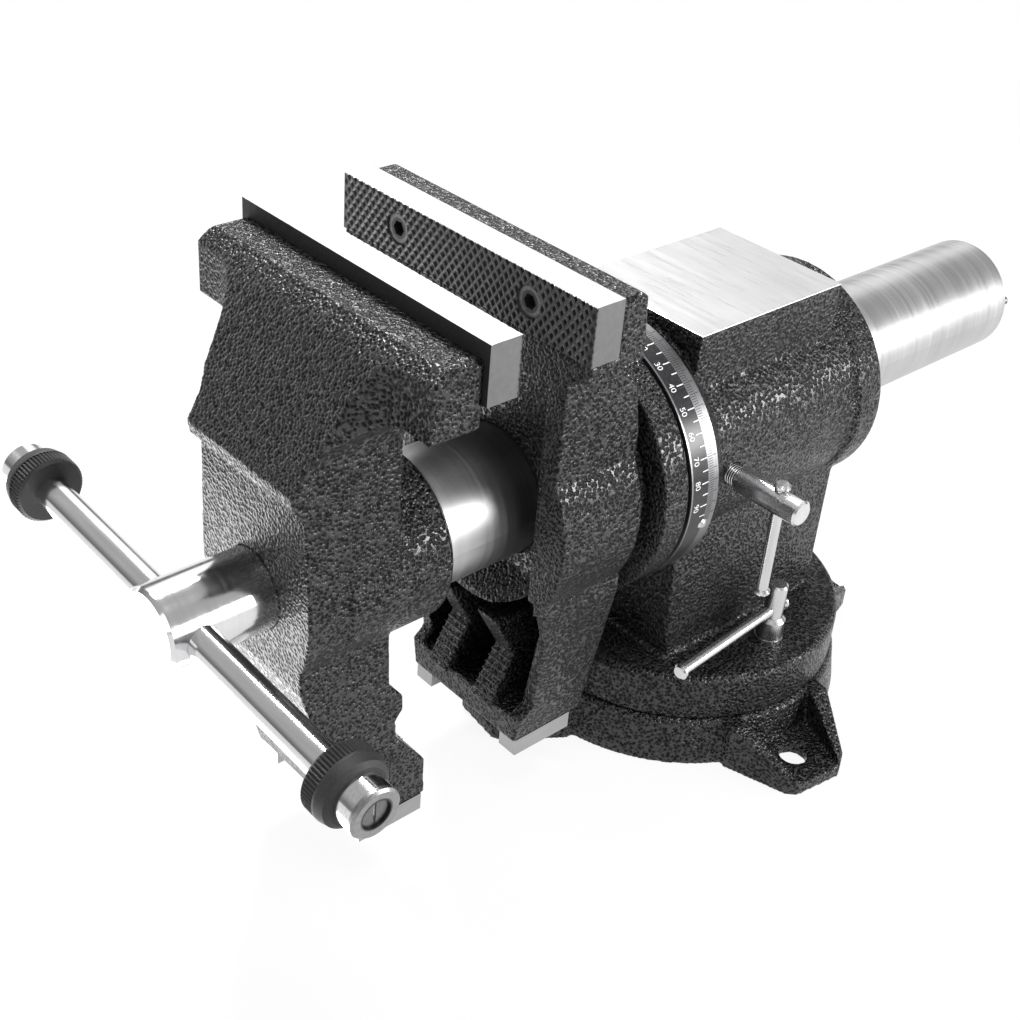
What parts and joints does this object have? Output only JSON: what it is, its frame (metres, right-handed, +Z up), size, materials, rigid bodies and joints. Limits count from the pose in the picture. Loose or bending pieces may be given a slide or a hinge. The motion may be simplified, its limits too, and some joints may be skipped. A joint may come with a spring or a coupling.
{
  "type": "multipurpose vise",
  "caption": "Bench vise with flat jaws above, pipe jaws below, a head that turns about its tube, an anvil and a swivel base with locking bars.",
  "frame": {"origin": "centre of the base's underside, on the swivel axis", "axes": "+Z up, along the swivel axis; +Y along the slide tube, away from the handle; +X along the jaws"},
  "size_m": [0.2466, 0.5406, 0.2815],
  "materials": {
    "hammered_paint": "hammered",
    "ground_steel": "ground",
    "turned_steel": "turned",
    "plated_steel": "polished",
    "black_steel": "blackened",
    "scale_black": "satin",
    "knurled_black": "matte",
    "bronze": "turned"
  },
  "bodies": {
    "base": {"base": "hammered_paint"},
    "swivel": {"swivel_body": "hammered_paint", "pivot_bolt": "turned_steel", "pivot_washer": "turned_steel", "right_t_bolt": "turned_steel", "left_t_bolt": "turned_steel", "right_lock_washer": "plated_steel", "left_lock_washer": "plated_steel", "scale_ring": "scale_black", "scale_rivets": "plated_steel"},
    "head": {"fixed_jaw": "hammered_paint", "retaining_ring": "turned_steel", "retaining_screws": "black_steel", "spindle_nut": "bronze", "nut_bolt": "black_steel", "fixed_plate": "ground_steel", "fixed_plate_screws": "black_steel", "fixed_lower_pads": "ground_steel", "fixed_pad_screws": "turned_steel"},
    "slider": {"movable_jaw": "hammered_paint", "movable_plate": "ground_steel", "movable_plate_screws": "black_steel", "movable_lower_pads": "ground_steel", "movable_pad_screws": "turned_steel", "slide_tube": "turned_steel", "tube_pin": "black_steel", "tube_end_cap": "turned_steel", "grease_nipple": "plated_steel"},
    "screw": {"spindle": "turned_steel", "thrust_washer": "bronze", "spindle_collar": "turned_steel", "collar_pin": "turned_steel"},
    "handle": {"handle_bar": "plated_steel", "right_knurled_ring": "knurled_black", "left_knurled_ring": "knurled_black", "right_handle_cap": "plated_steel", "left_handle_cap": "plated_steel"},
    "right_nut": {"right_lock_nut": "plated_steel"},
    "right_bar": {"right_lock_bar": "plated_steel"},
    "left_nut": {"left_lock_nut": "plated_steel"},
    "left_bar": {"left_lock_bar": "plated_steel"},
    "lock_shoe": {"head_lock_shoe": "bronze"},
    "lock_screw": {"head_lock_screw": "plated_steel"},
    "lock_bar": {"head_lock_bar": "plated_steel"}
  },
  "joints": [
    {"name": "base_swivel", "type": "hinge", "parent": "base", "child": "swivel", "pos_m": [0, 0, 0], "axis": [0, 0, 1], "continuous": true},
    {"name": "head_rotation", "type": "hinge", "parent": "swivel", "child": "head", "pos_m": [0, 0, 0.156], "axis": [0, 1, 0], "continuous": true},
    {"name": "jaw_slide", "type": "slide", "parent": "head", "child": "slider", "axis": [0, 1, 0], "range_m": [-0.115, 0.035]},
    {"name": "screw_turn", "type": "hinge", "parent": "slider", "child": "screw", "pos_m": [0, -0.294, 0.156], "axis": [0, 1, 0], "range_deg": [-8280, 2520]},
    {"name": "bar_slide", "type": "slide", "parent": "screw", "child": "handle", "axis": [0.9991, 0, -0.0419], "range_m": [-0.08, 0.08]},
    {"name": "right_nut_turn", "type": "hinge", "parent": "swivel", "child": "right_nut", "pos_m": [0.064, 0, 0.06], "axis": [0, 0, 1], "range_deg": [-10, 160]},
    {"name": "right_bar_slide", "type": "slide", "parent": "right_nut", "child": "right_bar", "axis": [-0.0837, 0.9965, 0], "range_m": [0, 0.067]},
    {"name": "left_nut_turn", "type": "hinge", "parent": "swivel", "child": "left_nut", "pos_m": [-0.064, 0, 0.06], "axis": [0, 0, 1], "range_deg": [-10, 160]},
    {"name": "left_bar_slide", "type": "slide", "parent": "left_nut", "child": "left_bar", "axis": [0.0837, -0.9965, 0], "range_m": [0, 0.067]},
    {"name": "lock_screw_turn", "type": "hinge", "parent": "swivel", "child": "lock_screw", "pos_m": [0.06, -0.04, 0.156], "axis": [1, 0, 0], "range_deg": [-60, 60]},
    {"name": "lock_bar_slide", "type": "slide", "parent": "lock_screw", "child": "lock_bar", "axis": [0, 0, 1], "range_m": [0, 0.041]},
    {"name": "shoe_slide", "type": "slide", "parent": "swivel", "child": "lock_shoe", "axis": [1, 0, 0], "range_m": [-0.00025, 0.00025]}
  ],
  "couplings": [
    {"joint": "jaw_slide", "follows": "screw_turn", "m_per_rad": 0.00079577},
    {"joint": "shoe_slide", "follows": "lock_screw_turn", "m_per_rad": 0.00023}
  ]
}
